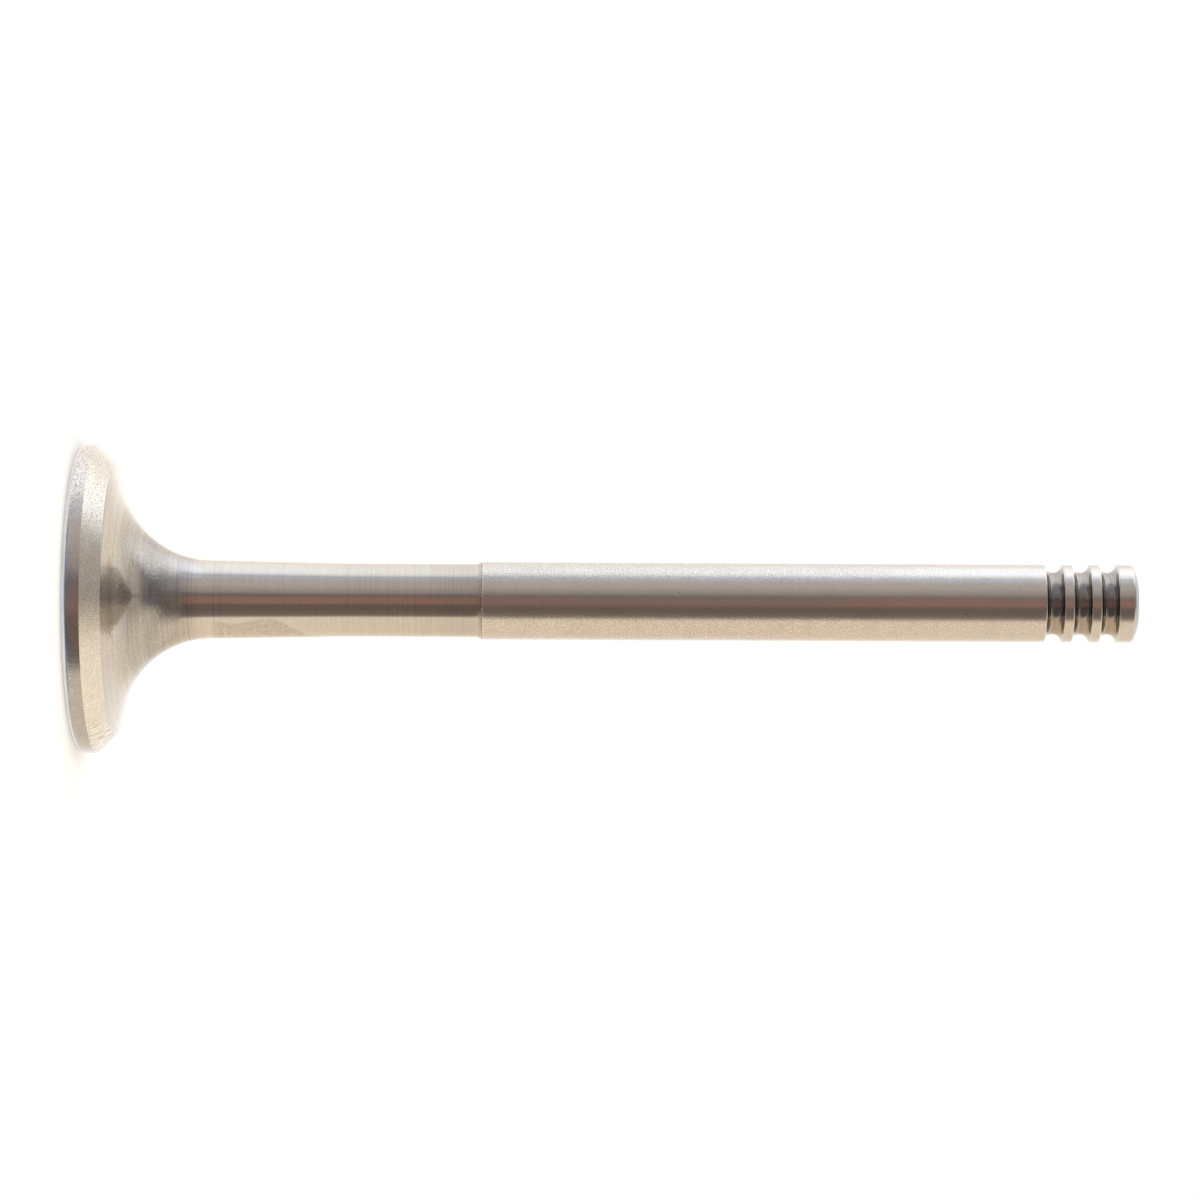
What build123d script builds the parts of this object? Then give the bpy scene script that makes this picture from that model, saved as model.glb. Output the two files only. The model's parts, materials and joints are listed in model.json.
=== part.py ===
from build123d import *
import os
from math import radians, tan

# Poppet valve of a combustion engine, forged in one piece, then turned and ground.
# It stands on its combustion face: the face lies at Z = 0, centred on the origin,
# and the stem rises along +Z. Every length is in millimetres, every angle in degrees.

# ---- Driving dimensions ----

# Whole valve
overall_length = 107.6

# Head: flat combustion face, cylindrical margin, ground seat, conical back
head_diameter = 31.5
face_chamfer_width = 0.75
face_chamfer_height = 0.42
margin_height = 1.8
seat_width = 1.85
seat_angle = 45.0
back_angle = 14.0

# Throat fillet that runs from the back of the head into the neck
throat_radius = 9.2
neck_root_diameter = 8.36

# Neck taper down to the turned relief below the ground stem
relief_diameter = 7.53
relief_start = 27.9

# Shoulder where the relief meets the ground stem
shoulder_height = 41.1
shoulder_angle = 25.0
shoulder_radius = 2.0

# Ground stem, which runs in the valve guide
stem_diameter = 7.97

# Keeper grooves, counted down from the tip
groove_count = 3
groove_pitch = 2.77
groove_radius = 0.88
groove_depth = 0.8
groove_mouth_chamfer = 0.15
tip_land = 2.93

# Tip, with a shallow chamfer round its flat end
tip_chamfer_width = 0.95
tip_chamfer_height = 0.42

# ---- Radii and heights that follow from them ----
head_radius = head_diameter / 2
face_flat_radius = head_radius - face_chamfer_width
seat_top_radius = head_radius - seat_width
seat_top = margin_height + seat_width * tan(radians(seat_angle))
neck_root_radius = neck_root_diameter / 2
neck_root = seat_top + (seat_top_radius - neck_root_radius) * tan(radians(back_angle))
relief_radius = relief_diameter / 2
stem_radius = stem_diameter / 2
shoulder_foot = shoulder_height - (stem_radius - relief_radius) / tan(radians(shoulder_angle))
tip_flat_radius = stem_radius - tip_chamfer_width
groove_heights = [overall_length - tip_land - groove_pitch * i for i in range(groove_count)]


def turned_outline():
    """Half section of the valve before its keeper grooves: local X is the radius, local Y the height."""
    corners = [
        ((face_flat_radius, 0), 0),
        ((head_radius, face_chamfer_height), 0),
        ((head_radius, margin_height), 0),
        ((seat_top_radius, seat_top), 0),
        ((neck_root_radius, neck_root), throat_radius),
        ((relief_radius, relief_start), 0),
        ((relief_radius, shoulder_foot), shoulder_radius),
        ((stem_radius, shoulder_height), 0),
        ((stem_radius, overall_length - tip_chamfer_height), 0),
        ((tip_flat_radius, overall_length), 0),
    ]
    points = [(0, 0)] + [point for point, radius in corners] + [(0, overall_length)]
    with BuildSketch(Plane.XZ) as outline:
        with BuildLine():
            turned_edge = FilletPolyline(*points, radius=[radius for point, radius in corners])
            Line(turned_edge @ 1, turned_edge @ 0)
        make_face()
    return outline.sketch_local


def keeper_groove():
    """Section of one groove, centred on the height of its floor: a half round that opens outwards."""
    centre_radius = stem_radius - groove_depth + groove_radius
    with BuildSketch() as groove:
        with Locations((centre_radius, 0)):
            Circle(groove_radius)
            Rectangle(groove_depth + groove_radius, 2 * groove_radius, align=(Align.MIN, Align.CENTER))
    return groove.sketch_local


def valve_section():
    """Half section of the finished valve, with every groove cut and its mouths bevelled."""
    with BuildSketch(Plane.XZ) as section:
        add(turned_outline())
        with Locations([(0, height) for height in groove_heights]):
            add(keeper_groove(), mode=Mode.SUBTRACT)
        lowest_mouth = groove_heights[-1] - 2 * groove_radius
        highest_mouth = groove_heights[0] + 2 * groove_radius
        mouths = section.vertices().filter_by_position(Axis.Y, lowest_mouth, highest_mouth)
        chamfer(mouths.group_by(Axis.X)[-1], groove_mouth_chamfer)
    return section.sketch


def valve():
    """The whole valve: its half section turned once round the stem axis."""
    return revolve(valve_section(), axis=Axis.Z)


os.makedirs("parts", exist_ok=True)
export_step(valve(), "parts/valve.step")
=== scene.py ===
import json
from math import atan2, ceil, cos, pi, radians, sin, tan

import bpy
from mathutils import Matrix, Vector


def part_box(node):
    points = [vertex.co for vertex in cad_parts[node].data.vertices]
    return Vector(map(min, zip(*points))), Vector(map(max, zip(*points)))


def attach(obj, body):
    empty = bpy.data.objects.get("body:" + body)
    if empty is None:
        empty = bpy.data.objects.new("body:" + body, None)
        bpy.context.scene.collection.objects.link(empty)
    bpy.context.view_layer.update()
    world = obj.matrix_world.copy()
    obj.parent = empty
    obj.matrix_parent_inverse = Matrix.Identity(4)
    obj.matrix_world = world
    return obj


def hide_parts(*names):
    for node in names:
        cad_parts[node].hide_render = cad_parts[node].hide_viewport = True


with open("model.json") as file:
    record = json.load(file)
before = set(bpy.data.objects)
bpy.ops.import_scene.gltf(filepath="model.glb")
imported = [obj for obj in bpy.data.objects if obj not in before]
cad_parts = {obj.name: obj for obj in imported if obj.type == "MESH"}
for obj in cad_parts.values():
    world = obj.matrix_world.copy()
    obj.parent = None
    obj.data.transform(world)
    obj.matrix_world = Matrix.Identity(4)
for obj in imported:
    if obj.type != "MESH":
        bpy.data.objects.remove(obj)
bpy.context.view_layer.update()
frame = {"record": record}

MM = 0.001

# ---- Sizes of the turned surface, in metres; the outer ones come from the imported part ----
LOWEST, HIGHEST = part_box("valve")
LENGTH = HIGHEST.z - LOWEST.z
HEAD_RADIUS = HIGHEST.x
STEM_RADIUS = next(m["dims"]["r_mm"] for m in frame["record"]["mounts"] if m["name"] == "stem") * MM

FACE_CHAMFER_WIDTH = 0.75 * MM
FACE_CHAMFER_HEIGHT = 0.42 * MM
FACE_CHAMFER_ROUND = 0.2 * MM
MARGIN_FOOT_ROUND = 0.45 * MM
MARGIN_HEIGHT = 1.8 * MM
SEAT_WIDTH = 1.85 * MM
SEAT_ANGLE = radians(45)
SEAT_EDGE_ROUND = 0.06 * MM
BACK_ANGLE = radians(14)
THROAT_RADIUS = 9.2 * MM
NECK_ROOT_RADIUS = 4.18 * MM
RELIEF_RADIUS = 3.765 * MM
RELIEF_START = 27.9 * MM
SHOULDER_HEIGHT = 41.1 * MM
SHOULDER_ANGLE = radians(25)
SHOULDER_RADIUS = 2.0 * MM
SHOULDER_EDGE_ROUND = 0.08 * MM
GROOVE_COUNT = 3
GROOVE_PITCH = 2.77 * MM
GROOVE_RADIUS = 0.88 * MM
GROOVE_DEPTH = 0.8 * MM
GROOVE_MOUTH_ROUND = 0.2 * MM
TIP_LAND = 2.93 * MM
TIP_CHAMFER_WIDTH = 0.95 * MM
TIP_CHAMFER_HEIGHT = 0.42 * MM
TIP_ROUND = 0.4 * MM

# ---- Mesh density ----
SEGMENTS = 240
ARC_STEP = radians(7)
LONGEST_STEP = 1.2 * MM
# A point this far outside each round keeps the shading beside it flat.
SUPPORT_STEP = 0.03 * MM


# ---- Outline ----
def rounded_corner(before, corner, after, radius):
    """Points of the arc of this radius that rounds a corner between its two neighbours."""
    if radius == 0:
        return [corner]
    to_before = (before - corner).normalized()
    to_after = (after - corner).normalized()
    half_angle = to_before.angle(to_after) / 2
    reach = radius / tan(half_angle)
    centre = corner + (to_before + to_after).normalized() * (radius / sin(half_angle))
    start = corner + to_before * reach - centre
    turn = start.angle_signed(corner + to_after * reach - centre)
    steps = max(2, ceil(abs(turn) / ARC_STEP))
    points = [corner + to_before * (reach + SUPPORT_STEP)]
    for i in range(steps + 1):
        bend = -turn * i / steps
        points.append(centre + Vector((start.x * cos(bend) - start.y * sin(bend),
                                       start.x * sin(bend) + start.y * cos(bend))))
    points.append(corner + to_after * (reach + SUPPORT_STEP))
    return points


def groove_points(height):
    """One keeper groove from its lower mouth to its upper one, with both mouths rounded."""
    centre_radius = STEM_RADIUS - GROOVE_DEPTH + GROOVE_RADIUS
    # The mouth's round touches the stem and, from outside, the groove's own half round.
    round_centre_radius = STEM_RADIUS - GROOVE_MOUTH_ROUND
    apart = GROOVE_RADIUS + GROOVE_MOUTH_ROUND
    drop = centre_radius - round_centre_radius
    half_mouth = (apart ** 2 - drop ** 2) ** 0.5
    touch = atan2(drop, half_mouth)
    mouth_steps = ceil((pi / 2 - touch) / ARC_STEP)
    floor_steps = 2 * mouth_steps
    lower = [Vector((STEM_RADIUS, -half_mouth - SUPPORT_STEP))]
    for i in range(mouth_steps + 1):
        angle = pi / 2 - (pi / 2 - touch) * i / mouth_steps
        lower.append(Vector((round_centre_radius + GROOVE_MOUTH_ROUND * sin(angle),
                             -half_mouth + GROOVE_MOUTH_ROUND * cos(angle))))
    floor = []
    for i in range(1, floor_steps):
        angle = -pi / 2 + touch + (pi - 2 * touch) * i / floor_steps
        floor.append(Vector((centre_radius - GROOVE_RADIUS * cos(angle), GROOVE_RADIUS * sin(angle))))
    upper = [Vector((p.x, -p.y)) for p in reversed(lower)]
    return [p + Vector((0, height)) for p in lower + floor + upper]


def turned_outline():
    """The valve's half section from the centre of its face to the centre of its tip: (radius, height)."""
    seat_top_radius = HEAD_RADIUS - SEAT_WIDTH
    seat_top = MARGIN_HEIGHT + SEAT_WIDTH * tan(SEAT_ANGLE)
    neck_root = seat_top + (seat_top_radius - NECK_ROOT_RADIUS) * tan(BACK_ANGLE)
    shoulder_foot = SHOULDER_HEIGHT - (STEM_RADIUS - RELIEF_RADIUS) / tan(SHOULDER_ANGLE)
    head_corners = [
        ((0, 0), 0),
        ((HEAD_RADIUS - FACE_CHAMFER_WIDTH, 0), FACE_CHAMFER_ROUND),
        ((HEAD_RADIUS, FACE_CHAMFER_HEIGHT), MARGIN_FOOT_ROUND),
        ((HEAD_RADIUS, MARGIN_HEIGHT), SEAT_EDGE_ROUND),
        ((seat_top_radius, seat_top), SEAT_EDGE_ROUND),
        ((NECK_ROOT_RADIUS, neck_root), THROAT_RADIUS),
        ((RELIEF_RADIUS, RELIEF_START), 0),
        ((RELIEF_RADIUS, shoulder_foot), SHOULDER_RADIUS),
        ((STEM_RADIUS, SHOULDER_HEIGHT), SHOULDER_EDGE_ROUND),
    ]
    tip_corners = [
        ((STEM_RADIUS, LENGTH - TIP_CHAMFER_HEIGHT), TIP_ROUND),
        ((STEM_RADIUS - TIP_CHAMFER_WIDTH, LENGTH), TIP_ROUND),
        ((0, LENGTH), 0),
    ]
    corners = [(Vector(point), radius) for point, radius in head_corners + tip_corners]
    points = []
    for i, (corner, radius) in enumerate(corners):
        if i == len(head_corners):
            for groove in reversed(range(GROOVE_COUNT)):
                points += groove_points(LENGTH - TIP_LAND - GROOVE_PITCH * groove)
        before = corners[max(i - 1, 0)][0]
        after = corners[min(i + 1, len(corners) - 1)][0]
        points += rounded_corner(before, corner, after, radius)
    return points


def with_even_steps(points, longest):
    """The same outline with no step longer than asked."""
    finer = [points[0]]
    for start, end in zip(points, points[1:]):
        steps = max(1, ceil((end - start).length / longest))
        finer += [start.lerp(end, i / steps) for i in range(1, steps + 1)]
    return finer


# ---- Piece ----
def lathe(name, outline, segments):
    """A closed mesh turned round the Z axis. The outline starts and ends on the axis."""
    rings = outline[1:-1]
    vertices = [(0, 0, outline[0].y)]
    for point in rings:
        for j in range(segments):
            angle = 2 * pi * j / segments
            vertices.append((point.x * cos(angle), point.x * sin(angle), point.y))
    vertices.append((0, 0, outline[-1].y))
    last = len(vertices) - 1
    top = last - segments
    faces = []
    for j in range(segments):
        k = (j + 1) % segments
        faces.append((0, 1 + k, 1 + j))
        faces.append((last, top + j, top + k))
        for i in range(len(rings) - 1):
            low = 1 + i * segments
            high = low + segments
            faces.append((low + j, low + k, high + k, high + j))
    mesh = bpy.data.meshes.new(name)
    mesh.from_pydata(vertices, [], faces)
    mesh.validate()
    mesh.shade_smooth()
    piece = bpy.data.objects.new(name, mesh)
    bpy.context.scene.collection.objects.link(piece)
    return piece


# ---- Nodes ----
class Graph:
    """Adds nodes to a node tree and wires them. A value is a number, a colour or a node's socket."""

    def __init__(self, tree):
        self.tree = tree

    def node(self, kind, **settings):
        node = self.tree.nodes.new(kind)
        for name, value in settings.items():
            setattr(node, name, value)
        return node

    def feed(self, socket, value):
        if isinstance(value, bpy.types.NodeSocket):
            self.tree.links.new(value, socket)
        elif isinstance(value, tuple):
            socket.default_value = (*value, 1)
        else:
            socket.default_value = value

    def math(self, operation, *values):
        node = self.node("ShaderNodeMath", operation=operation)
        for socket, value in zip(node.inputs, values):
            self.feed(socket, value)
        return node.outputs[0]

    def plus(self, first, second):
        return self.math("ADD", first, second)

    def minus(self, first, second):
        return self.math("SUBTRACT", first, second)

    def times(self, first, *others):
        """All the values multiplied together."""
        for other in others:
            first = self.math("MULTIPLY", first, other)
        return first

    def map_range(self, kind, value, low, high, start, end):
        node = self.node("ShaderNodeMapRange", interpolation_type=kind)
        for name, setting in (("Value", value), ("From Min", low), ("From Max", high),
                              ("To Min", start), ("To Max", end)):
            self.feed(node.inputs[name], setting)
        return node.outputs["Result"]

    def step(self, value, low, high, start=0.0, end=1.0):
        """A soft step from start to end while the value goes from low to high, level beyond."""
        return self.map_range("SMOOTHSTEP", value, low, high, start, end)

    def straight(self, value, low, high, start, end):
        """A straight line from start to end while the value goes from low to high, level beyond."""
        return self.map_range("LINEAR", value, low, high, start, end)

    def band(self, value, low, high, soft):
        """1 between two values and 0 outside them, with soft edges."""
        rise = self.step(value, low - soft, low + soft)
        fall = self.step(value, high - soft, high + soft)
        return self.minus(rise, fall)

    def ramp(self, value, stops):
        """Colours by value, from stops that each give a value and a colour."""
        low, high = stops[0][0], stops[-1][0]
        node = self.node("ShaderNodeValToRGB")
        elements = node.color_ramp.elements
        for i in range(1, len(stops) - 1):
            elements.new(i / (len(stops) - 1))
        for element, (at, colour) in zip(list(elements), stops):
            element.position = (at - low) / (high - low)
            element.color = (*colour, 1)
        scaled = self.math("DIVIDE", self.minus(value, low), high - low)
        self.feed(node.inputs["Fac"], scaled)
        return node.outputs["Color"]

    def mix(self, factor, first, second, blend="MIX"):
        node = self.node("ShaderNodeMix", data_type="RGBA", blend_type=blend)
        self.feed(node.inputs["Factor"], factor)
        colours = [socket for socket in node.inputs if socket.type == "RGBA"]
        for socket, colour in zip(colours, (first, second)):
            self.feed(socket, colour)
        return next(socket for socket in node.outputs if socket.type == "RGBA")

    def split(self, vector):
        node = self.node("ShaderNodeSeparateXYZ")
        self.feed(node.inputs[0], vector)
        return list(node.outputs)

    def vector(self, x, y, z):
        node = self.node("ShaderNodeCombineXYZ")
        for socket, value in zip(node.inputs, (x, y, z)):
            self.feed(socket, value)
        return node.outputs[0]

    def noise(self, vector, scale=1.0, detail=2.0, rough=0.5):
        node = self.node("ShaderNodeTexNoise")
        for name, value in (("Vector", vector), ("Scale", scale), ("Detail", detail),
                            ("Roughness", rough)):
            self.feed(node.inputs[name], value)
        return node.outputs["Fac"]


# ---- Steel: every finish is laid out in millimetres on the valve itself ----
STEEL = (0.56, 0.53, 0.49)
# Colours of the steel seen at a grazing angle.
WARM_EDGE = (0.97, 0.91, 0.84)
NEUTRAL_EDGE = (0.94, 0.915, 0.89)


class Surface(Graph):
    """A metal material: its nodes, and where each point lies on the valve, in millimetres."""

    def __init__(self, name, roughness=0.2, anisotropic=0.0, edge_tint=WARM_EDGE, colour=STEEL):
        self.material = bpy.data.materials.new(name)
        self.material.use_nodes = True
        super().__init__(self.material.node_tree)
        self.shader = self.tree.nodes["Principled BSDF"]
        self.shader.inputs["Anisotropic"].default_value = anisotropic
        self.shader.inputs["Specular Tint"].default_value = (*edge_tint, 1)
        tangent = self.node("ShaderNodeTangent", direction_type="RADIAL", axis="Z")
        self.feed(self.shader.inputs["Tangent"], tangent.outputs[0])
        self.metallic = 1.0
        self.roughness = roughness
        self.colour = colour
        self.relief = 0.0
        scale = self.node("ShaderNodeVectorMath", operation="SCALE")
        self.feed(scale.inputs[0], self.node("ShaderNodeTexCoord").outputs["Object"])
        self.feed(scale.inputs["Scale"], 1 / MM)
        self.place = scale.outputs[0]
        self.x, self.y, self.height = self.split(self.place)
        # How far towards the top of the picture.
        self.up = self.times(self.x, -1)
        squares = [self.times(value, value) for value in (self.x, self.y)]
        self.radius = self.math("SQRT", self.plus(*squares))
        # How far along the outline: it grows with height up the stem, and towards the stem on the head.
        self.run = self.minus(self.height, self.radius)

    def near_side(self, start=-0.5, end=-2.0):
        """0 on the far side of the axis and 1 on the camera's side, changing over this range of Y."""
        return self.step(self.y, start, end)

    def rings(self, per_mm, drift=0.15, detail=2.0):
        """Noise drawn out into rings round the axis, as a turning tool leaves it."""
        stretched = self.vector(self.times(self.x, drift), self.times(self.y, drift),
                                self.times(self.run, per_mm))
        return self.noise(stretched, detail=detail)

    def grain(self, per_mm, detail=2.0):
        return self.noise(self.place, per_mm, detail)

    def centred(self, value, spread):
        """A noise value moved to run from -spread to spread."""
        return self.times(self.minus(value, 0.5), 2, spread)

    def shade(self, value, spread):
        """Darkens and lightens the steel by a noise value."""
        factor = self.plus(1.0, self.centred(value, spread))
        grey = self.node("ShaderNodeCombineColor")
        for socket in grey.inputs:
            self.feed(socket, factor)
        self.colour = self.mix(1.0, self.colour, grey.outputs[0], "MULTIPLY")

    def stain(self, mask, colour, strength=1.0):
        """Mixes a colour over the steel where the mask is 1."""
        self.colour = self.mix(self.times(mask, strength), self.colour, colour)

    def ring(self, height, half_width, strength, colour):
        """A thin coloured ring at one height."""
        mask = self.band(self.height, height - half_width, height + half_width, soft=half_width * 0.8)
        self.stain(mask, colour, strength)

    def spot(self, height, up, radius, colour):
        """A small round mark on the camera's side."""
        along = self.minus(self.height, height)
        across = self.minus(self.up, up)
        distance = self.math("SQRT", self.plus(self.times(along, along), self.times(across, across)))
        inside = self.step(distance, radius * 1.3, radius * 0.5)
        self.stain(self.times(inside, self.near_side(0.2, -0.2)), colour)

    def roughen(self, value, spread):
        self.roughness = self.plus(self.roughness, self.centred(value, spread))

    def emboss(self, value, depth):
        """Raises the surface where a noise value is high: the depth is in millimetres."""
        self.relief = self.plus(self.relief, self.times(value, depth))

    def finish(self):
        self.feed(self.shader.inputs["Base Color"], self.colour)
        self.feed(self.shader.inputs["Metallic"], self.metallic)
        self.feed(self.shader.inputs["Roughness"], self.roughness)
        if isinstance(self.relief, bpy.types.NodeSocket):
            bump = self.node("ShaderNodeBump")
            bump.inputs["Distance"].default_value = MM
            self.feed(bump.inputs["Height"], self.relief)
            self.feed(self.shader.inputs["Normal"], bump.outputs[0])
        return self.material


def turned_face():
    """The combustion face, faced off in fine rings."""
    steel = Surface("turned_face", roughness=0.3, anisotropic=0.5)
    rings = steel.rings(per_mm=4.0)
    steel.shade(rings, spread=0.2)
    steel.shade(steel.grain(per_mm=0.4), spread=0.15)
    steel.emboss(rings, depth=0.01)
    return steel.finish()


# ---- Margin ----
MARGIN_SHADOW = (0.36, 0.365, 0.375)
MARGIN_PAINTED_LIGHT = (0.66, 0.63, 0.60)
MARGIN_BLUE_REFLECTION = (0.42, 0.52, 0.62)
MARGIN_MIDDLE = (0.40, 0.45, 0.49)
MARGIN_PIT = (0.2, 0.18, 0.17)


def pitted_margin():
    """The rim's cylinder, smooth round most of the head and pitted along one side."""
    steel = Surface("pitted_margin", roughness=0.18, anisotropic=0.4)
    # Painted shade darkens the margin's lower side and painted light lightens its upper side.
    steel.stain(steel.step(steel.up, -4.0, -7.0), MARGIN_SHADOW, strength=0.8)
    steel.stain(steel.step(steel.up, 6.0, 11.0), MARGIN_PAINTED_LIGHT, strength=0.8)
    # A painted blue reflection on the margin next to the face, fading out towards the top.
    painted_blue_reflection = steel.times(steel.step(steel.height, 1.35, 0.6),
                        steel.step(steel.up, 7.0, 3.0),
                        steel.step(steel.up, -7.5, -4.5, 0.4, 1.0))
    steel.stain(painted_blue_reflection, MARGIN_BLUE_REFLECTION, strength=0.6)
    steel.stain(steel.band(steel.up, -1.8, 2.2, soft=1.0), MARGIN_MIDDLE, strength=0.7)
    steel.shade(steel.grain(per_mm=1.0), spread=0.12)
    steel.shade(steel.grain(per_mm=3.0), spread=0.12)
    steel.shade(steel.grain(per_mm=8.0), spread=steel.step(steel.up, -5.0, -8.0, 0.2, 0.5))
    pits = steel.times(steel.step(steel.grain(per_mm=6.5), 0.44, 0.36), steel.step(steel.up, 6.0, 11.0))
    steel.stain(pits, MARGIN_PIT, strength=0.5)
    steel.emboss(pits, depth=-0.03)
    steel.emboss(steel.grain(per_mm=5.0), depth=0.012)
    return steel.finish()


# ---- Seat ----
SEAT_STEEL = (0.60, 0.57, 0.525)
SEAT_PIT = (0.22, 0.2, 0.19)
# How far the grinding marks turn round the head for each millimetre across the seat.
HATCH_SLANT = 0.73


def ground_seat():
    """The seat, ground across its whole width."""
    steel = Surface("ground_seat", roughness=0.13, anisotropic=0.3, colour=SEAT_STEEL)
    grain = steel.grain(per_mm=8.5)
    steel.shade(grain, spread=0.5)
    steel.shade(steel.grain(per_mm=0.8), spread=0.12)
    grinding_marks(steel)
    pits = steel.times(steel.step(steel.grain(per_mm=5.5), 0.38, 0.31), steel.step(steel.up, 5.0, 9.0))
    steel.stain(pits, SEAT_PIT, strength=0.6)
    steel.emboss(pits, depth=-0.03)
    steel.emboss(grain, depth=0.02)
    return steel.finish()


def grinding_marks(steel):
    """Coarse slanting marks across one part of the seat."""
    arc = steel.times(steel.math("ARCTAN2", steel.up, steel.times(steel.y, -1)), HEAD_RADIUS / MM)
    slanted = steel.minus(arc, steel.times(steel.radius, HATCH_SLANT))
    marks = steel.noise(steel.vector(steel.times(slanted, 4.2), steel.times(steel.radius, 1.1), 0.0))
    marked_part = steel.step(steel.up, -11.6, -13.4, 0.0, 1.2)
    steel.shade(marks, spread=marked_part)
    steel.emboss(steel.times(marks, marked_part), depth=0.06)


# ---- Back of the head, throat and neck ----
# Colours from the back of the head to the polished neck, by height.
BACK_COLOURS = [
    (3.7, (0.435, 0.41, 0.38)),
    (4.7, (0.455, 0.43, 0.40)),
    (5.6, (0.39, 0.37, 0.345)),
    (6.6, (0.375, 0.355, 0.33)),
    (7.8, (0.33, 0.315, 0.295)),
    (8.6, (0.39, 0.37, 0.345)),
    (9.2, (0.42, 0.395, 0.365)),
    (10.7, (0.44, 0.415, 0.385)),
    (12.5, STEEL),
]
POLISH_START = 8.5
POLISH_END = 12.5
# Dark rings of the throat: height, half width, strength.
THROAT_RINGS = [
    (8.7, 0.06, 0.25),
    (9.2, 0.05, 0.15),
    (10.25, 0.12, 0.25),
    (10.9, 0.05, 0.20),
    (11.3, 0.10, 0.28),
    (11.65, 0.06, 0.22),
    (12.1, 0.05, 0.15),
    (13.9, 0.10, 0.20),
    (14.5, 0.28, 0.12),
]
THROAT_RING = (0.25, 0.26, 0.29)
EDGE_LINE_HEIGHT = 3.67
EDGE_LINE = (0.22, 0.25, 0.30)
# The painted dark reflection lies to both sides of this line, counted towards the top of the picture.
DARK_REFLECTION_MIDDLE = 0.3
DARK_REFLECTION_HALF_WIDTH = 2.95
# A painted dark reflection on the back of the head, and a painted highlight on the throat past it.
PAINTED_DARK_REFLECTION = (0.20, 0.19, 0.18)
PAINTED_THROAT_HIGHLIGHT = (0.62, 0.58, 0.53)
# A painted shade on the throat.
THROAT_SHADE = (0.20, 0.20, 0.215)
# The patch's two ends by height, and its upper edge, a wave that turns by so many radians a millimetre.
PATCH_START = 13.9
PATCH_END = 24.5
PATCH_TOP = -2.2
PATCH_WAVE = 0.27
PATCH_WAVE_START = 17.6
PATCH_WAVE_TURN = 0.873
PATCH = (0.41, 0.38, 0.335)
PATCH_RIM = (0.30, 0.29, 0.28)


def turned_back():
    """The back of the head and the throat, ringed by turning, and the polished neck above them."""
    steel = Surface("turned_back", anisotropic=0.5)
    steel.colour = steel.ramp(steel.height, BACK_COLOURS)
    steel.roughness = steel.minus(steel.step(steel.height, 4.6, 6.5, 0.15, 0.2),
                                  steel.step(steel.height, POLISH_START, POLISH_END, 0.0, 0.12))
    steel.metallic = steel.step(steel.height, 4.6, 7.0, 0.8, 1.0)
    throat_rings(steel)
    painted_head_reflection(steel)
    throat_shade(steel)
    edge_line(steel)
    neck_patch(steel)
    unpolished = steel.step(steel.height, POLISH_START, POLISH_END, 1.0, 0.0)
    steel.emboss(steel.times(steel.grain(per_mm=3.0, detail=3.0), unpolished), depth=0.02)
    return steel.finish()


def throat_rings(steel):
    """Turning rings that fade up the neck, and a few dark ones."""
    coarse = steel.step(steel.height, 8.0, 13.0, 1.0, 0.3)
    steel.shade(steel.rings(per_mm=8.0, drift=0.2), spread=steel.times(coarse, 0.3))
    steel.shade(steel.rings(per_mm=9.0, drift=4.0), spread=steel.times(coarse, 0.5))
    steel.shade(steel.rings(per_mm=1.5, drift=0.05), spread=steel.times(coarse, 0.15))
    for height, half_width, strength in THROAT_RINGS:
        steel.ring(height, half_width, strength, THROAT_RING)


def painted_head_reflection(steel):
    """The outer corners of the painted dark reflection on the back, and a painted highlight past its end.
    """
    off_middle = steel.math("ABSOLUTE", steel.minus(steel.up, DARK_REFLECTION_MIDDLE))
    outer_width = steel.straight(steel.height, 4.7, 6.15, 3.3, 0.0)
    outer = steel.minus(steel.math("MINIMUM", outer_width, DARK_REFLECTION_HALF_WIDTH), off_middle)
    inner_width = steel.straight(steel.height, 3.9, 5.7, 3.1, -0.5)
    inner = steel.minus(inner_width, off_middle)
    corners = steel.minus(steel.step(outer, -0.2, 0.35), steel.step(inner, -0.6, 0.5))
    strength = steel.step(steel.up, -1.0, 1.0, 0.4, 0.65)
    steel.stain(steel.times(corners, steel.near_side(), strength), PAINTED_DARK_REFLECTION)
    throat_highlight = steel.times(steel.band(steel.height, 5.9, 6.75, soft=0.3),
                        steel.band(steel.up, -0.6, 3.2, soft=0.5),
                        steel.step(outer, 0.1, -0.3),
                        steel.near_side())
    steel.stain(throat_highlight, PAINTED_THROAT_HIGHLIGHT, strength=0.6)


def throat_shade(steel):
    """A painted shade on the throat, next to the painted highlight."""
    shaded = steel.times(steel.band(steel.height, 6.7, 9.3, soft=0.5),
                         steel.band(steel.up, -0.9, 3.1, soft=0.4),
                         steel.near_side())
    steel.stain(shaded, THROAT_SHADE, strength=0.3)


def edge_line(steel):
    """A thin dark line along part of the seat's upper edge."""
    line = steel.band(steel.height, EDGE_LINE_HEIGHT - 0.06, EDGE_LINE_HEIGHT + 0.06, soft=0.05)
    steel.stain(steel.times(line, steel.band(steel.up, 1.0, 11.0, soft=1.5)), EDGE_LINE, strength=0.5)


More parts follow.
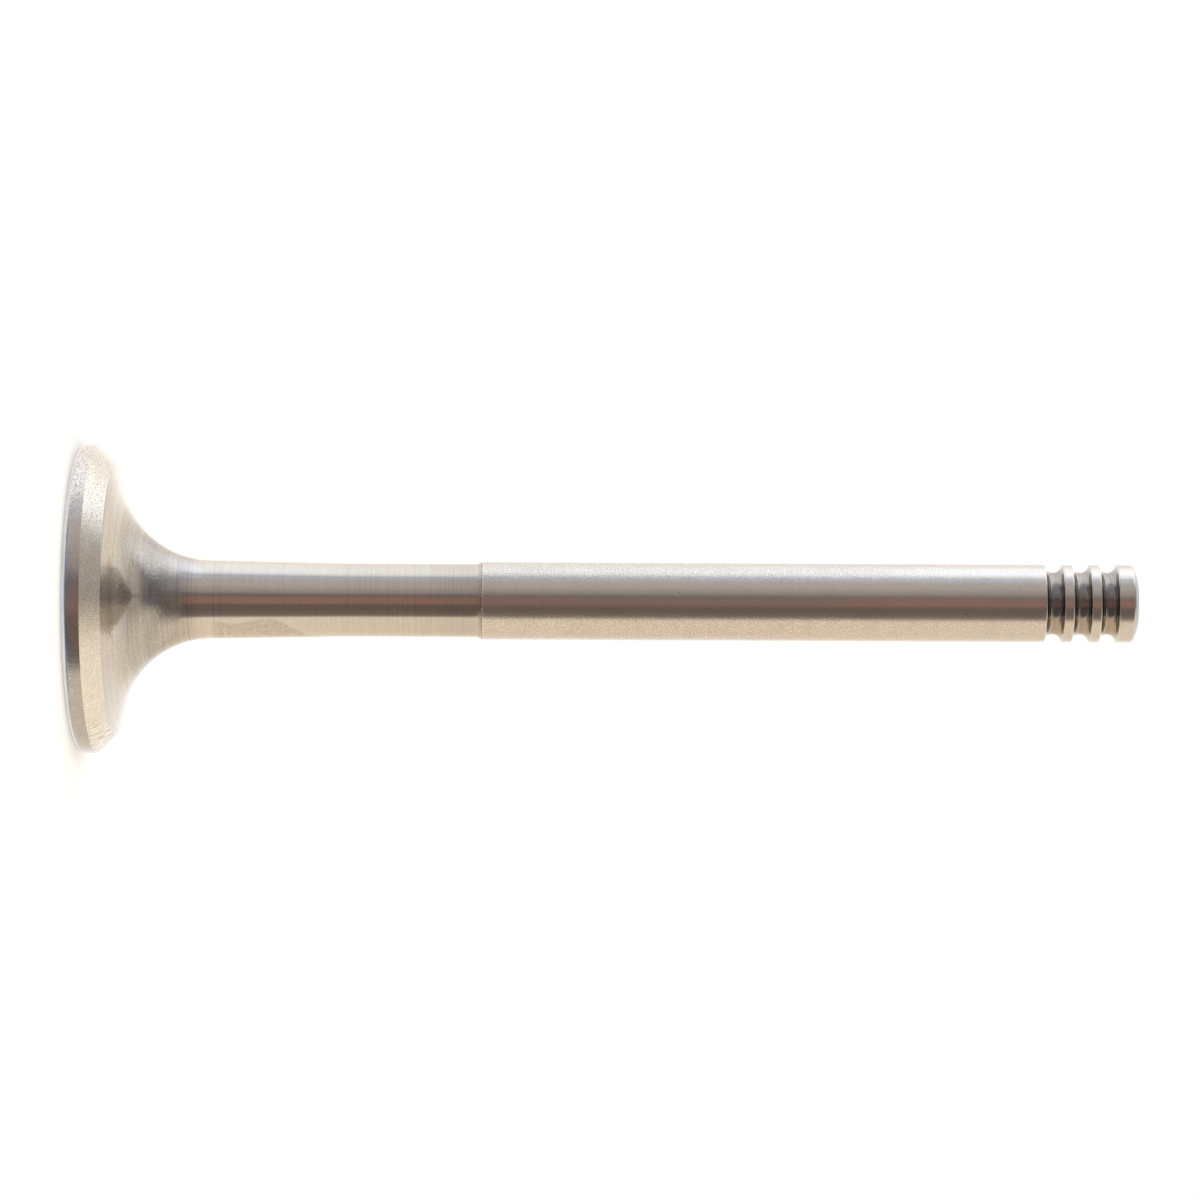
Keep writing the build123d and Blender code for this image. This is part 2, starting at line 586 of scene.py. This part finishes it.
def neck_patch(steel):
    """A streaky patch on the neck's lower side, with a wavy upper edge and a thin darker rim."""
    turn = steel.times(steel.minus(steel.height, PATCH_WAVE_START), PATCH_WAVE_TURN)
    wave = steel.times(steel.math("SINE", turn), PATCH_WAVE)
    falling = steel.step(steel.height, 19.4, 25.5, 0.0, -1.5)
    upper_edge = steel.plus(steel.plus(wave, PATCH_TOP), falling)
    below = steel.minus(upper_edge, steel.up)
    lengthwise = steel.times(steel.band(steel.height, PATCH_START, PATCH_END, soft=0.6),
                             steel.near_side(1.5, -0.5))
    along = steel.plus(steel.height, steel.times(steel.up, 1.4))
    against = steel.times(steel.minus(steel.height, steel.up), 5.0)
    streaks = steel.step(steel.noise(steel.vector(along, against, 0.0)), 0.35, 0.65, 0.25, 0.85)
    steel.stain(steel.times(steel.step(below, -0.03, 0.1), lengthwise, streaks), PATCH)
    rim = steel.times(steel.band(below, 0.0, 0.08, soft=0.06), lengthwise)
    steel.stain(rim, PATCH_RIM, strength=0.2)


# ---- Relief, shoulder and stem ----
RELIEF_STEEL = (0.535, 0.505, 0.465)
RELIEF_BROWN = (0.33, 0.30, 0.28)
FIRST_RELIEF_RING = 26.5
PALE_RING = (0.8, 0.79, 0.78)
PALE_NICK = (0.80, 0.78, 0.74)
DARK_NICK = (0.30, 0.27, 0.25)
# Nicks of the relief and the stem: height, how far up in the picture, radius, colour.
RELIEF_NICKS = [
    (32.1, -0.98, 0.09, PALE_NICK),
    (32.35, -0.86, 0.07, PALE_NICK),
    (39.4, 0.2, 0.07, PALE_NICK),
]
STEM_NICKS = [
    (46.6, -0.61, 0.07, PALE_NICK),
    (61.0, 0.92, 0.08, DARK_NICK),
    (64.5, -0.61, 0.06, PALE_NICK),
    (89.6, -0.97, 0.08, PALE_NICK),
]
SHOULDER_STEEL = (0.46, 0.40, 0.35)
SHOULDER_SHADOW = (0.25, 0.23, 0.22)
SHOULDER_EDGE_HIGHLIGHT = (0.85, 0.82, 0.78)
GOLD = (0.57, 0.47, 0.34)
# A painted highlight on the stem's upper side.
STEM_PAINTED_HIGHLIGHT = (0.70, 0.675, 0.63)
STEM_GREY = (0.46, 0.505, 0.49)
TIP_CHAMFER_STEEL = (0.28, 0.30, 0.38)


def turned_relief():
    """The relief below the stem, with close, even turning rings."""
    steel = Surface("turned_relief", roughness=0.1, anisotropic=0.5, colour=RELIEF_STEEL)
    rings = steel.rings(per_mm=10.0, drift=0.1, detail=0.0)
    steel.shade(rings, spread=0.12)
    steel.shade(steel.rings(per_mm=10.0, drift=7.0), spread=0.2)
    steel.ring(FIRST_RELIEF_RING, half_width=0.07, strength=0.35, colour=PALE_RING)
    steel.stain(steel.step(steel.height, 33.0, 40.5), RELIEF_BROWN, strength=0.25)
    for height, up, radius, colour in RELIEF_NICKS:
        steel.spot(height, up, radius, colour)
    steel.emboss(rings, depth=0.001)
    return steel.finish()


def shoulder():
    """The slope up to the stem, browned and rougher than the surfaces beside it."""
    steel = Surface("shoulder", roughness=0.25, anisotropic=0.2, colour=SHOULDER_STEEL)
    steel.shade(steel.grain(per_mm=6.0), spread=0.3)
    edge = SHOULDER_HEIGHT / MM
    # A painted shadow line just below the stem's edge, and a painted highlight along the edge.
    steel.ring(edge - 0.12, half_width=0.06, strength=0.5, colour=SHOULDER_SHADOW)
    steel.ring(edge, half_width=0.05, strength=0.8, colour=SHOULDER_EDGE_HIGHLIGHT)
    return steel.finish()


def ground_stem():
    """The stem, ground to a fine grain, with gold-brown specks, a painted highlight band, a greyer band and
    a few nicks.
    """
    steel = Surface("ground_stem", roughness=0.19, anisotropic=0.2, edge_tint=NEUTRAL_EDGE)
    # The grain stands out most along the upper and the lower side, and fades towards the tip.
    both_sides = steel.plus(steel.step(steel.up, 1.8, 2.6), steel.step(steel.up, -1.4, -2.1))
    fading = steel.step(steel.height, 70.0, 95.0, 1.0, 0.6)
    strength = steel.times(steel.plus(steel.times(both_sides, 0.57), 0.18), fading)
    steel.shade(steel.grain(per_mm=8.5), spread=strength)
    steel.shade(steel.grain(per_mm=0.5), spread=0.06)
    gold_specks(steel)
    stem_bands(steel)
    tip = LENGTH / MM
    steel.stain(steel.step(steel.height, tip - 0.5, tip - 0.25), TIP_CHAMFER_STEEL)
    for height, up, radius, colour in STEM_NICKS:
        steel.spot(height, up, radius, colour)
    steel.roughen(steel.grain(per_mm=0.3), spread=0.05)
    steel.emboss(steel.times(steel.grain(per_mm=6.0), fading), depth=0.008)
    return steel.finish()


def gold_specks(steel):
    """Short gold-brown strokes along the stem's lower side, in patches that fade towards the tip."""
    strokes = steel.noise(steel.vector(steel.times(steel.height, 2.6),
                                       steel.times(steel.up, 6.5),
                                       steel.times(steel.y, 6.5)), rough=0.6)
    patches = steel.step(steel.grain(per_mm=0.22, detail=1.0), 0.38, 0.58, 0.35, 1.3)
    gold = steel.times(steel.step(strokes, 0.50, 0.62),
                       patches,
                       steel.step(steel.up, -1.8, -2.6),
                       steel.step(steel.height, 95.0, 75.0, 0.15, 0.5))
    steel.stain(gold, GOLD)


def stem_bands(steel):
    """A painted highlight band on the upper side towards the tip, and a greyer band along the middle
    elsewhere.
    """
    painted_highlight_band = steel.times(steel.band(steel.up, 2.75, 3.5, soft=0.25), steel.step(steel.height, 78.0, 88.0))
    steel.stain(painted_highlight_band, STEM_PAINTED_HIGHLIGHT, strength=0.3)
    grey = steel.times(steel.band(steel.up, -0.4, 0.6, soft=0.3), steel.step(steel.height, 88.0, 70.0))
    steel.stain(grey, STEM_GREY, strength=0.7)


# ---- Keeper grooves ----
GROOVE_STEEL = (0.325, 0.30, 0.28)
# Painted shade along the grooves' middle, a painted tan reflection below, and painted light and shade on
# the walls.
GROOVE_PAINTED_SHADE = (0.12, 0.115, 0.115)
GROOVE_PAINTED_TAN_REFLECTION = (0.36, 0.29, 0.22)
WALL_PAINTED_LIGHT = (0.58, 0.64, 0.66)
WALL_PAINTED_SHADE = (0.25, 0.285, 0.30)
# The half puts each groove in the middle of its share, and the whole pitches keep the count positive.
GROOVE_COUNT_START = 10.5


def groove_steel():
    """The keeper grooves, smooth and darker, with painted shade along their middle, a painted tan
    reflection on their lower side, and painted light and shade on the walls towards the head on the
    camera's side.
    """
    steel = Surface("groove_steel", roughness=0.09, edge_tint=NEUTRAL_EDGE, colour=GROOVE_STEEL)
    steel.shade(steel.grain(per_mm=3.0), spread=0.2)
    steel.shade(steel.grain(per_mm=7.0), spread=0.2)
    middle = steel.step(steel.math("ABSOLUTE", steel.up), 2.4, 1.4)
    steel.stain(middle, GROOVE_PAINTED_SHADE, strength=0.4)
    steel.stain(steel.step(steel.up, -1.0, -2.0), GROOVE_PAINTED_TAN_REFLECTION, strength=0.7)
    pitch = GROOVE_PITCH / MM
    top_groove = (LENGTH - TIP_LAND) / MM
    pitches = steel.math("DIVIDE", steel.minus(steel.height, top_groove), pitch)
    in_pitch = steel.math("FRACT", steel.plus(pitches, GROOVE_COUNT_START))
    across = steel.times(steel.minus(in_pitch, 0.5), pitch)
    wall = steel.times(steel.step(across, -0.38, -0.55), steel.near_side(0.5, -0.5))
    steel.stain(steel.times(wall, middle), WALL_PAINTED_LIGHT, strength=0.9)
    steel.stain(steel.times(wall, steel.step(steel.up, -0.9, -2.0)), WALL_PAINTED_SHADE, strength=0.9)
    return steel.finish()


# Each finish from its lowest height, in millimetres, up to the next one.
FINISHES = [
    (0.0, turned_face),
    (0.2, pitted_margin),
    (1.8, ground_seat),
    (3.65, turned_back),
    (26.45, turned_relief),
    (40.6, shoulder),
    (41.15, ground_stem),
]
# The grooves lie between these distances below the tip, and deeper in the stem than this.
NEAREST_GROOVE = 1 * MM
FARTHEST_GROOVE = 11 * MM
LEAST_GROOVE_DEPTH = 0.1 * MM


def finish_number(radius, height):
    """Which finish covers this part of the outline."""
    by_the_grooves = NEAREST_GROOVE < LENGTH - height < FARTHEST_GROOVE
    if by_the_grooves and radius < STEM_RADIUS - LEAST_GROOVE_DEPTH:
        return len(FINISHES)
    return max(i for i, (start, make) in enumerate(FINISHES) if height / MM >= start)


outline = with_even_steps(turned_outline(), LONGEST_STEP)
valve = lathe("turned_valve", outline, SEGMENTS)
for start, make in FINISHES:
    valve.data.materials.append(make())
valve.data.materials.append(groove_steel())
for polygon in valve.data.polygons:
    polygon.material_index = finish_number(polygon.center.xy.length, polygon.center.z)
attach(valve, "root")
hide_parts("valve")


# ---- Studio ----
# Colours round the stem's axis, by the angle in degrees from the camera (0) to the top of its picture (90).
# They are shares of STUDIO_STRENGTH.
STUDIO_STRENGTH = 1.76
BACKDROP = (0.80, 0.79, 0.78)
TABLE = (0.66, 0.565, 0.455)
DARK_ROOM = (0.125, 0.095, 0.082)
RED_SHIRT = (0.235, 0.137, 0.115)
GREY_WALL = (0.371, 0.342, 0.319)
BLUE_EDGE = (0.405, 0.42, 0.475)
SOFT_BOX = (0.82, 0.83, 0.86)
ROUND_THE_STEM = [
    (-180, BACKDROP),
    (-160, BACKDROP),
    (-140, (0.69, 0.62, 0.53)),
    (-115, TABLE),
    (-56.5, TABLE),
    (-49.5, (0.20, 0.165, 0.14)),
    (-44, (0.15, 0.12, 0.105)),
    (-30, DARK_ROOM),
    (-14.5, DARK_ROOM),
    (-9.5, (0.25, 0.143, 0.117)),
    (-5, (0.25, 0.14, 0.113)),
    (-2, RED_SHIRT),
    (9, (0.215, 0.14, 0.12)),
    (13, (0.145, 0.12, 0.12)),
    (17, (0.16, 0.145, 0.145)),
    (22, (0.26, 0.23, 0.21)),
    (33, (0.324, 0.29, 0.272)),
    (42, GREY_WALL),
    (52, (0.392, 0.361, 0.343)),
    (62, (0.387, 0.377, 0.378)),
    (68, BLUE_EDGE),
    (76, BLUE_EDGE),
    (84, (0.70, 0.71, 0.73)),
    (93, SOFT_BOX),
    (130, (0.80, 0.795, 0.79)),
    (146, (0.74, 0.735, 0.73)),
    (165, BACKDROP),
    (180, BACKDROP),
]
# The same for directions that lean well towards the tip.
TOWARDS_THE_TIP = [
    (-180, (0.78, 0.72, 0.63)),
    (-150, (0.755, 0.69, 0.59)),
    (-122, (0.78, 0.705, 0.58)),
    (-95, (0.74, 0.65, 0.53)),
    (-70, (0.68, 0.60, 0.52)),
    (-60, (0.55, 0.46, 0.38)),
    (-42, (0.20, 0.17, 0.155)),
    (-30, (0.16, 0.13, 0.12)),
    (0, (0.18, 0.15, 0.13)),
    (15, (0.155, 0.15, 0.15)),
    (29, (0.26, 0.235, 0.235)),
    (61, (0.34, 0.34, 0.36)),
    (74, (0.58, 0.58, 0.60)),
    (86, (0.86, 0.86, 0.87)),
    (122, (1.0, 1.02, 1.05)),
    (140, (0.89, 0.88, 0.86)),
    (158, (0.76, 0.72, 0.66)),
    (180, (0.78, 0.72, 0.63)),
]
# Colours above the tip and behind the face, by how far a direction leans to the top of the
# picture (-1 to 1).
ABOVE_THE_TIP = [
    (-1, (0.81, 0.73, 0.60)),
    (-0.6, (0.81, 0.73, 0.60)),
    (-0.35, (0.727, 0.648, 0.536)),
    (-0.13, (0.49, 0.43, 0.36)),
    (0, (0.22, 0.19, 0.18)),
    (0.1, (0.33, 0.30, 0.275)),
    (0.26, (0.37, 0.34, 0.31)),
    (0.37, (0.34, 0.31, 0.285)),
    (0.5, (0.36, 0.345, 0.33)),
    (0.58, (1.05, 1.05, 1.05)),
    (1, (1.0, 1.0, 0.99)),
]
BEHIND_THE_FACE = [
    (-1, TABLE),
    (-0.38, TABLE),
    (-0.26, (0.75, 0.79, 0.82)),
    (-0.09, (0.70, 0.75, 0.79)),
    (-0.05, (0.49, 0.57, 0.67)),
    (0.1, (0.52, 0.59, 0.67)),
    (0.15, (0.68, 0.73, 0.78)),
    (1, (0.80, 0.80, 0.82)),
]
DARK_ABOVE = (0.19, 0.17, 0.168)
BELOW_THE_HEAD = (0.17, 0.175, 0.21)
BEHIND_THE_STEM = (0.67, 0.62, 0.55)
GLARE = (0.98, 0.97, 0.95)
COOL_END = (1.17, 1.21, 1.28)
HEAD_END = (1.08, 1.08, 1.08)


def colour_around(graph, up, near, z, turn):
    """The studio level with the valve: a ramp round the stem, changed a little towards either end."""
    around = graph.ramp(turn, ROUND_THE_STEM)
    lit_sides = graph.plus(graph.step(up, -0.3, -0.6), graph.band(turn, 98, 128, soft=6))
    lit = graph.times(graph.step(z, -0.03, -0.1), lit_sides)
    around = graph.mix(lit, around, HEAD_END, "MULTIPLY")
    cool = graph.times(graph.step(z, -0.03, 0.12), graph.step(turn, 56, 70), graph.step(turn, 140, 110))
    around = graph.mix(cool, around, COOL_END, "MULTIPLY")
    glare = graph.times(graph.step(near, -0.93, -0.985),
                        graph.step(z, -0.06, 0.02),
                        graph.step(up, -0.1, 0.04))
    around = graph.mix(glare, around, GLARE)
    below = graph.times(graph.step(z, -0.5, -0.8), graph.step(near, 0.55, 0.25))
    return graph.mix(below, around, BELOW_THE_HEAD)


def colour_above(graph, up, near):
    """The studio above the tip, dark towards the camera and pale behind the stem."""
    slope = graph.plus(up, graph.times(near, 0.6))
    dark = graph.times(graph.step(near, 0.12, 0.32), graph.step(slope, -0.05, 0.12))
    above = graph.mix(dark, graph.ramp(up, ABOVE_THE_TIP), DARK_ABOVE)
    return graph.mix(graph.step(near, -0.2, -0.38), above, BEHIND_THE_STEM, "LIGHTEN")


def studio_colour(graph):
    """The colour of the studio in a direction, as the valve reflects it."""
    x, y, z = graph.split(graph.node("ShaderNodeTexCoord").outputs["Generated"])
    up = graph.times(x, -1)
    near = graph.times(y, -1)
    turn = graph.math("DEGREES", graph.math("ARCTAN2", up, near))
    towards_the_tip = graph.ramp(turn, TOWARDS_THE_TIP)
    colour = graph.mix(graph.step(z, 0.36, 0.5), colour_around(graph, up, near, z, turn), towards_the_tip)
    colour = graph.mix(graph.step(z, 0.75, 0.9), colour, colour_above(graph, up, near))
    behind_face = graph.times(graph.step(z, -0.35, -0.55), graph.step(near, 0.15, -0.25))
    return graph.mix(behind_face, colour, graph.ramp(up, BEHIND_THE_FACE))


def studio_world():
    """White behind the valve for the camera, and a soft-lit studio for everything else."""
    world = bpy.data.worlds.new("studio")
    world.use_nodes = True
    graph = Graph(world.node_tree)
    studio = world.node_tree.nodes["Background"]
    graph.feed(studio.inputs["Color"], studio_colour(graph))
    studio.inputs["Strength"].default_value = STUDIO_STRENGTH
    white = graph.node("ShaderNodeBackground")
    white.inputs["Color"].default_value = (1, 1, 1, 1)
    mix = graph.node("ShaderNodeMixShader")
    light_path = graph.node("ShaderNodeLightPath")
    graph.feed(mix.inputs["Fac"], light_path.outputs["Is Camera Ray"])
    graph.feed(mix.inputs[1], studio.outputs[0])
    graph.feed(mix.inputs[2], white.outputs[0])
    graph.feed(world.node_tree.nodes["World Output"].inputs["Surface"], mix.outputs[0])
    bpy.context.scene.world = world


studio_world()

# ---- Floor ----
FLOOR_RADIUS = 0.3
# The floor is open under the valve, so that its face can be seen from below.
FLOOR_OVERLAP = 0.1 * MM
FLOOR_OPENING = HEAD_RADIUS - FACE_CHAMFER_WIDTH - FLOOR_OVERLAP
FLOOR_SEGMENTS = 96
FLOOR_COLOUR = (0.9, 0.9, 0.9)
FLOOR_ROUGHNESS = 0.9
FLOOR_GLOW = 0.3


def floor_material():
    """Pale and matt. Only the camera sees its glow, so it stays white and keeps a light shadow."""
    material = bpy.data.materials.new("pale_floor")
    material.use_nodes = True
    graph = Graph(material.node_tree)
    shader = material.node_tree.nodes["Principled BSDF"]
    shader.inputs["Base Color"].default_value = (*FLOOR_COLOUR, 1)
    shader.inputs["Roughness"].default_value = FLOOR_ROUGHNESS
    glow = graph.node("ShaderNodeEmission")
    seen = graph.node("ShaderNodeLightPath").outputs["Is Camera Ray"]
    graph.feed(glow.inputs["Strength"], graph.times(seen, FLOOR_GLOW))
    both = graph.node("ShaderNodeAddShader")
    graph.feed(both.inputs[0], shader.outputs[0])
    graph.feed(both.inputs[1], glow.outputs[0])
    graph.feed(material.node_tree.nodes["Material Output"].inputs["Surface"], both.outputs[0])
    return material


def add_floor():
    """A plain floor round the valve, at the height of its face."""
    vertices = []
    for radius in (FLOOR_OPENING, FLOOR_RADIUS):
        for i in range(FLOOR_SEGMENTS):
            angle = 2 * pi * i / FLOOR_SEGMENTS
            vertices.append((radius * cos(angle), radius * sin(angle), 0))
    faces = []
    for i in range(FLOOR_SEGMENTS):
        j = (i + 1) % FLOOR_SEGMENTS
        faces.append((i, i + FLOOR_SEGMENTS, j + FLOOR_SEGMENTS, j))
    mesh = bpy.data.meshes.new("floor")
    mesh.from_pydata(vertices, [], faces)
    floor = bpy.data.objects.new("floor", mesh)
    bpy.context.scene.collection.objects.link(floor)
    floor.visible_glossy = False
    floor.data.materials.append(floor_material())


add_floor()

# ---- Camera: level with the valve's middle and rolled, so that the stem lies across the picture ----
# Pixels are those of the photo, counted from its left and its top.
PHOTO_SIDE = 1200
MIDDLE_PIXEL = 600
FACE_PIXEL = 80.8
AXIS_PIXEL = 601.2
PIXELS_PER_MM = 9.8
FOCAL_PIXELS = 4000
# How far the stem falls in the photo for each pixel to the right.
STEM_FALL = 0.004828
CAMERA_DISTANCE = FOCAL_PIXELS / PIXELS_PER_MM * MM
CAMERA_ROLL = atan2(STEM_FALL, 1)
SENSOR = 36


def add_camera():
    """The photo's camera: +Z runs to the right of its picture, and -X to the top."""
    data = bpy.data.cameras.new("camera")
    data.sensor_width = SENSOR
    data.lens = SENSOR * FOCAL_PIXELS / PHOTO_SIDE
    camera = bpy.data.objects.new("camera", data)
    bpy.context.scene.collection.objects.link(camera)
    along, up = Vector((0, 0, 1)), Vector((-1, 0, 0))
    right = along * cos(CAMERA_ROLL) + up * sin(CAMERA_ROLL)
    above = up * cos(CAMERA_ROLL) - along * sin(CAMERA_ROLL)
    back = right.cross(above)
    pixel = MM / PIXELS_PER_MM
    height = (MIDDLE_PIXEL - FACE_PIXEL) * pixel
    place = along * height + up * (AXIS_PIXEL - MIDDLE_PIXEL) * pixel + back * CAMERA_DISTANCE
    turn = Matrix((right, above, back)).transposed().to_4x4()
    camera.matrix_world = Matrix.Translation(place) @ turn
    bpy.context.scene.camera = camera


add_camera()
bpy.context.scene.view_settings.view_transform = "Standard"
